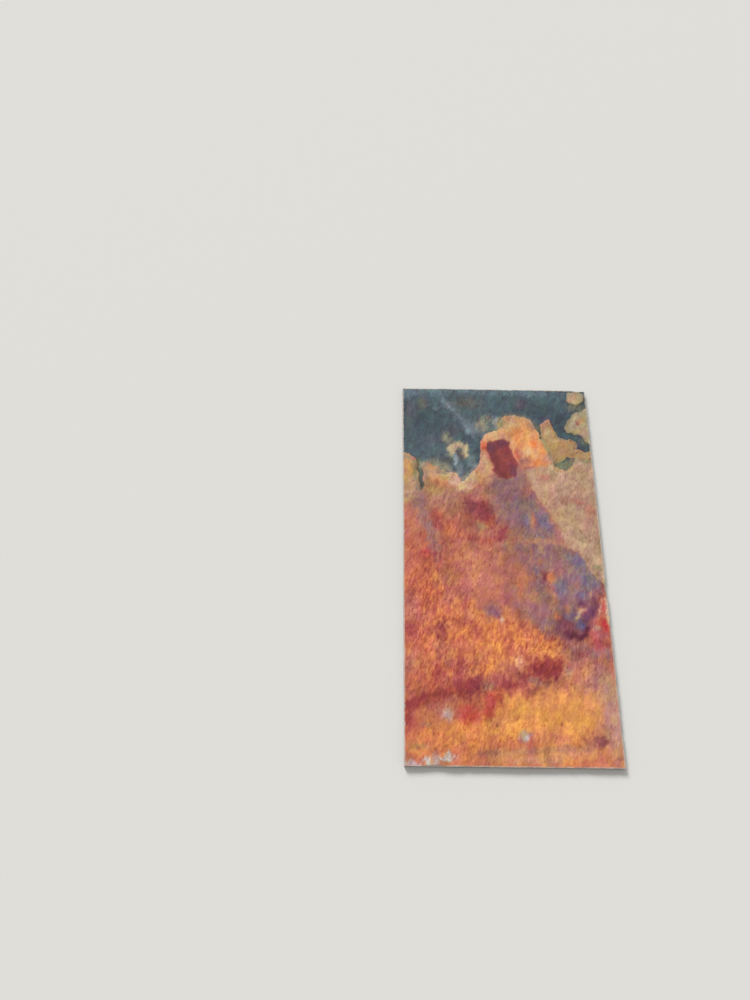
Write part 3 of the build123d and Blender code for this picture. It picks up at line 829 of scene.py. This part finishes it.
# Shader sums
class Wire:
    """A node's output. Python's operators on it add Math nodes."""

    def __init__(self, nodes, socket):
        self.nodes = nodes
        self.socket = socket

    def maths(self, operation, *values):
        return self.nodes.add("ShaderNodeMath", {"operation": operation}, dict(enumerate(values)))

    def __add__(self, other):
        return self.maths("ADD", self, other)

    def __sub__(self, other):
        return self.maths("SUBTRACT", self, other)

    def __rsub__(self, other):
        return self.maths("SUBTRACT", other, self)

    def __mul__(self, other):
        return self.maths("MULTIPLY", self, other)

    __radd__ = __add__
    __rmul__ = __mul__


class Nodes:
    """The nodes of one material or world."""

    def __init__(self, tree):
        self.tree = tree
        tree.nodes.clear()

    def add(self, kind, settings, inputs, output=0):
        """One node: its settings, then what goes into its sockets, and the output that is used."""
        node = self.tree.nodes.new(kind)
        for name, value in settings.items():
            setattr(node, name, value)
        for key, value in inputs.items():
            socket = node.inputs[key]
            if isinstance(value, Wire):
                self.tree.links.new(value.socket, socket)
            else:
                socket.default_value = value
        return Wire(self, node.outputs[output]) if node.outputs else None

    def blend(self, factor, under, over, how="MIX"):
        """One colour over another."""
        settings = {"data_type": "RGBA", "blend_type": how}
        return self.add("ShaderNodeMix", settings, {0: factor, 6: under, 7: over}, 2)

    def lit(self, colour, shares, amount):
        """A colour, lighter or darker by this amount, its red, green and blue by these shares of it."""
        spread = self.add("ShaderNodeVectorMath", {"operation": "SCALE"}, {0: shares, "Scale": amount})
        spread = self.add("ShaderNodeVectorMath", {"operation": "ADD"}, {0: spread, 1: (1.0, 1.0, 1.0)})
        return self.add("ShaderNodeVectorMath", {"operation": "MULTIPLY"}, {0: colour, 1: spread})

    def rise(self, value, low, high):
        """Nought below low, one above high, and a smooth rise between."""
        settings = {"interpolation_type": "SMOOTHSTEP"}
        inputs = {"Value": value, "From Min": low, "From Max": high}
        return self.add("ShaderNodeMapRange", settings, inputs)

    def noise(self, where, size, detail, roughness, shift):
        """Noise about nought whose swells have this size in millimetres along each axis."""
        scale = tuple(1 / (each * MM) for each in size)
        scaled = self.add("ShaderNodeVectorMath", {"operation": "MULTIPLY"}, {0: where, 1: scale})
        moved = self.add("ShaderNodeVectorMath", {"operation": "ADD"}, {0: scaled, 1: (shift,) * 3})
        inputs = {"Vector": moved, "Scale": 1.0, "Detail": detail, "Roughness": roughness}
        return self.add("ShaderNodeTexNoise", {}, inputs) - 0.5

    def stored(self, name, output="Fac"):
        """What the mesh stores under this name."""
        return self.add("ShaderNodeAttribute", {"attribute_name": name}, {}, output)


# Light tints that the stains drift between, and what a dark red fleck does to the stain under it
pink_tint = (0.99, 0.86, 1.15, 1.0)
gold_tint = (1.05, 1.06, 0.82, 1.0)
fleck_tint = (0.74, 0.47, 0.54, 1.0)
# How far light and dark moves red, green and blue: nearly alike from grain to grain, but broad dark places
# are redder
fine_grain = (0.85, 1.1, 1.15)
broad_grain = (0.72, 1.3, 0.9)
# Broken stone along the arris, the fine layers that show on the sawn walls, and rust between them
broken_stone = seen(204, 192, 180)
blue_grey_layer = seen(104, 111, 114)
pale_layer = seen(166, 161, 152)
rusty_layer = seen(166, 114, 80)


def slate_material():
    """Stained riven face, pale broken arris, and sawn stone below."""
    material = bpy.data.materials.new("riven_slate")
    material.use_nodes = True
    nodes = Nodes(material.node_tree)
    place_on_tile = nodes.add("ShaderNodeTexCoord", {}, {}, "Object")
    turned = {"Vector": place_on_tile, "Angle": radians(lean)}
    grain = nodes.add("ShaderNodeVectorRotate", {"rotation_type": "Z_AXIS"}, turned)
    fleck = nodes.noise(grain, (2.4, 6.0, 6), 3.0, 0.6, 3.0)
    other_fleck = nodes.noise(grain, (3.6, 8.0, 6), 2.0, 0.5, 23.0)
    mottle = nodes.noise(grain, (8, 13, 14), 4.0, 0.6, 9.0)
    other_mottle = nodes.noise(grain, (13, 20, 20), 3.0, 0.5, 67.0)
    dabs = nodes.noise(grain, (4.6, 13.0, 10), 3.0, 0.55, 51.0)
    grit = nodes.noise(grain, (0.8, 1.2, 0.8), 2.0, 0.6, 5.0)
    flecked = nodes.stored("flecked")
    grainy = nodes.stored("grainy")
    bold = 1.0 - nodes.stored("calm")
    pied = nodes.stored("pied")

    # Skins of rusty stone end on the bare slate in torn edges, with a pale lip, partly a pale rim and partly
    # a painted highlight on the step's top edge, and a dark foot that is painted shadow
    edge = nodes.stored("bare") + fleck * 0.5 + grit * 0.3
    bare = nodes.rise(edge, 0.3, 0.7)
    lip_and_highlight = nodes.rise(edge, 0.1, 0.36) - nodes.rise(edge, 0.36, 0.46)
    painted_foot_shadow = nodes.rise(edge, 0.5, 0.6) - nodes.rise(edge, 0.75, 1.0)
    colour = nodes.blend(bare, nodes.stored("skin", "Color"), nodes.stored("slate", "Color"))
    # The stored stains, lighter and darker, pinker and yellower from grain to grain
    dab = nodes.rise(dabs, -0.05, 0.07) - 0.5
    fine_tone = (fleck + grit * 0.5) * grainy + lip_and_highlight * 0.08 - painted_foot_shadow * 0.12
    broad_tone = mottle * (grainy * 0.6 + 0.4 + bare * 0.9) + dab * (flecked * 0.32 + pied * 0.12) + 0.02
    colour = nodes.lit(colour, fine_grain, fine_tone)
    colour = nodes.lit(colour, broad_grain, broad_tone)
    hue = (other_fleck * 0.3 + other_mottle * 2.8) * bold + dab * (flecked * 0.3 + pied * 0.4)
    tint = nodes.blend(nodes.rise(hue, -0.42, 0.42), pink_tint, gold_tint)
    colour = nodes.blend(1.0, colour, tint, "MULTIPLY")
    strokes = nodes.noise(grain, (2.8, 8.5, 6), 2.0, 0.5, 83.0)
    red_fleck = nodes.rise(strokes + flecked * 0.13, 0.12, 0.23)
    colour = nodes.blend(red_fleck * 0.8, colour, nodes.blend(1.0, colour, fleck_tint, "MULTIPLY"))
    # Pale broken stone along the arris and in the spalls
    arris = nodes.rise(nodes.stored("rim_distance") + fleck * 4.0, 2.2, 0.4) * 0.8
    broken = nodes.rise(nodes.stored("spalled"), 0.05, 0.3) * 0.7
    pale = arris.maths("MAXIMUM", arris, broken)
    colour = nodes.blend(pale, colour, broken_stone)
    # Sawn stone under the face: fine layers of blue-grey with rust between
    depth = nodes.stored("depth")
    layers = nodes.noise(place_on_tile, (70, 70, 0.8), 4.0, 0.6, 13.0)
    stone = nodes.blend(nodes.rise(layers, -0.12, 0.12), blue_grey_layer, pale_layer)
    rust_band = nodes.noise(place_on_tile, (50, 80, 2.2), 3.0, 0.6, 31.0)
    stone = nodes.blend(nodes.rise(rust_band, 0.02, 0.18) * 0.75, stone, rusty_layer)
    sawn = nodes.rise(depth + fleck * 1.2, 0.25, 0.9)
    colour = nodes.blend(sawn, colour, stone)
    # Relief finer than the mesh
    thin_leaves = nodes.noise(grain, (26, 44, 44), 5.0, 0.55, 43.0) * 11
    thin_leaf = thin_leaves.maths("FLOOR", thin_leaves)
    part_leaf = thin_leaves.maths("FRACT", thin_leaves)
    torn_edge = nodes.rise(part_leaf, 0.92, 1.0)
    saw_marks = nodes.noise(place_on_tile, (1.2, 260, 40), 2.0, 0.5, 17.0)
    back = nodes.rise(depth, 7.0, 7.5)
    relief = (thin_leaf + torn_edge) * 0.1 + grit * 0.14 + fleck * 0.3 - bare * 0.25
    relief = relief + layers * sawn * 0.4 + saw_marks * back * 0.2
    bump = nodes.add("ShaderNodeBump", {}, {"Strength": 1.0, "Distance": MM, "Height": relief})
    roughness = mottle * 0.3 + 0.62
    finish = {"Base Color": colour, "Roughness": roughness, "Specular IOR Level": 0.3, "Normal": bump}
    shader = nodes.add("ShaderNodeBsdfPrincipled", {}, finish)
    nodes.add("ShaderNodeOutputMaterial", {}, {"Surface": shader})
    return material


def slate_tile():
    """The tile, in place of its plain solid."""
    tile = bpy.data.objects.new("slate", tile_mesh())
    bpy.context.scene.collection.objects.link(tile)
    tile.data.materials.append(slate_material())
    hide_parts("slate_tile")
    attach(tile, "root")
    return tile


# Studio. The floor's radius, and how far it lies under the tile, are in metres
floor_radius = 30.0
floor_drop = 0.0003
backdrop = seen(226, 225, 222)
sky_light = 0.62
sun_strength = 2.6
sun_softness = radians(24)
sun_turn = (radians(-46), radians(-30), 0)


def studio():
    """A pale floor, an even pale surround and one soft lamp."""
    below = (0, 0, -floor_drop)
    bpy.ops.mesh.primitive_circle_add(vertices=96, radius=floor_radius, fill_type="NGON", location=below)
    floor = bpy.context.object
    floor.name = "floor"
    paint = bpy.data.materials.new("floor_paint")
    paint.use_nodes = True
    nodes = Nodes(paint.node_tree)
    finish = {"Base Color": backdrop, "Roughness": 0.9, "Specular IOR Level": 0.1}
    matt = nodes.add("ShaderNodeBsdfPrincipled", {}, finish)
    nodes.add("ShaderNodeOutputMaterial", {}, {"Surface": matt})
    floor.data.materials.append(paint)

    world = bpy.data.worlds.new("surround")
    world.use_nodes = True
    nodes = Nodes(world.node_tree)
    path = nodes.tree.nodes.new("ShaderNodeLightPath")
    shown = Wire(nodes, path.outputs["Is Camera Ray"]) + Wire(nodes, path.outputs["Is Glossy Ray"])
    shown = shown + Wire(nodes, path.outputs["Is Transmission Ray"])
    strength = sky_light + shown * (1 - sky_light)
    sky = nodes.add("ShaderNodeBackground", {}, {"Color": backdrop, "Strength": strength})
    nodes.add("ShaderNodeOutputWorld", {}, {"Surface": sky})
    bpy.context.scene.world = world

    lamp = bpy.data.lights.new("soft_lamp", "SUN")
    lamp.energy = sun_strength
    lamp.angle = sun_softness
    lamp_object = bpy.data.objects.new("soft_lamp", lamp)
    lamp_object.rotation_euler = sun_turn
    bpy.context.scene.collection.objects.link(lamp_object)


# The photograph's camera: where it stands, in metres, and how it is turned, in degrees
eye = (-0.2033, -0.462, 1.197)
looks_down = 64.88
looks_right = 1.01
leans_left = 1.76
# Focal length and the picture's long side, in its pixels, and that side on the sensor, in millimetres
focal_pixels = 850
long_side_pixels = 1000
sensor_side = 36.0


def camera():
    """The camera, at the photograph's place and angle."""
    data = bpy.data.cameras.new("camera")
    data.sensor_width = sensor_side
    data.lens = sensor_side * focal_pixels / long_side_pixels
    view = bpy.data.objects.new("camera", data)
    aim = Euler((radians(90 - looks_down), 0, radians(-looks_right))).to_matrix()
    turned = aim @ Matrix.Rotation(radians(leans_left), 3, "Z")
    view.matrix_world = Matrix.Translation(eye) @ turned.to_4x4()
    bpy.context.scene.collection.objects.link(view)
    bpy.context.scene.camera = view


bpy.context.scene.view_settings.view_transform = "Standard"
slate_tile()
studio()
camera()
